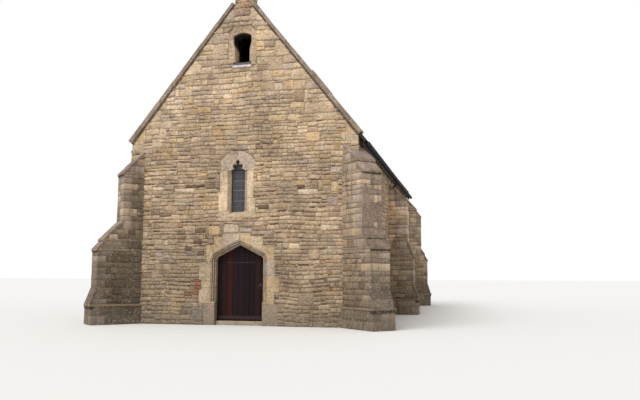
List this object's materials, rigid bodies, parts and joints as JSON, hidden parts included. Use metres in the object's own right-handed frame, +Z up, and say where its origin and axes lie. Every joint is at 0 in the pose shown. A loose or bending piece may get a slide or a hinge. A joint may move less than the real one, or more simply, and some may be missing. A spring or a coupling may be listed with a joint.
{
  "type": "small chapel",
  "caption": "Small rubble-stone chapel with a steep coped gable, moulded pointed doorway, cusped window, bell opening and stepped buttresses.",
  "frame": {"origin": "on the ground at the middle of the chapel's plan", "axes": "+Y from the door front to the rear gable, +X to the right when facing the door front, +Z up"},
  "size_m": [9.46, 16.6416, 10.5135],
  "materials": {
    "rubble": "matte",
    "dressed_stone": "matte",
    "flagstone": "matte",
    "stone_slate": "matte",
    "roof_oak": "matte",
    "door_oak": "satin",
    "wrought_iron": "satin",
    "rainwater_iron": "satin",
    "leaded_glass": "gloss"
  },
  "bodies": {
    "chapel": {"bell_sill": "dressed_stone", "bell_surround": "dressed_stone", "collar_purlin": "roof_oak", "collars": "roof_oak", "crown_posts": "roof_oak", "door_pintles": "wrought_iron", "door_step": "flagstone", "doorway_arch_left": "dressed_stone", "doorway_arch_right": "dressed_stone", "doorway_jambs": "dressed_stone", "doorway_lintel": "roof_oak", "downpipes": "rainwater_iron", "fascias": "roof_oak", "floor": "flagstone", "front_buttress_left": "rubble", "front_buttress_right": "rubble", "front_coping_left": "dressed_stone", "front_coping_right": "dressed_stone", "front_gable": "rubble", "front_wall_left": "rubble", "front_wall_right": "rubble", "front_window_glass": "leaded_glass", "front_window_head": "dressed_stone", "front_window_jambs": "dressed_stone", "front_window_sill": "dressed_stone", "gutter_brackets": "rainwater_iron", "gutters": "rainwater_iron", "kneelers": "dressed_stone", "left_wall": "rubble", "nave_window_glass": "leaded_glass", "nave_window_heads": "dressed_stone", "nave_window_jambs": "dressed_stone", "nave_window_sills": "dressed_stone", "rafters_left": "roof_oak", "rafters_right": "roof_oak", "rear_buttresses": "rubble", "rear_copings": "dressed_stone", "rear_wall": "rubble", "ridge": "stone_slate", "right_wall": "rubble", "roof_covering_left": "stone_slate", "roof_covering_right": "stone_slate", "saddle_stones": "dressed_stone", "side_buttresses": "rubble", "tie_beams": "roof_oak", "wall_plates": "roof_oak"},
    "door": {"door_leaf": "door_oak", "door_ledges": "door_oak", "door_straps": "wrought_iron", "door_handle": "wrought_iron"}
  },
  "joints": [
    {"name": "door_hinge", "type": "hinge", "parent": "chapel", "child": "door", "pos_m": [-0.775, -6.855, 0.128], "axis": [0, 0, 1], "range_deg": [0, 95]}
  ]
}
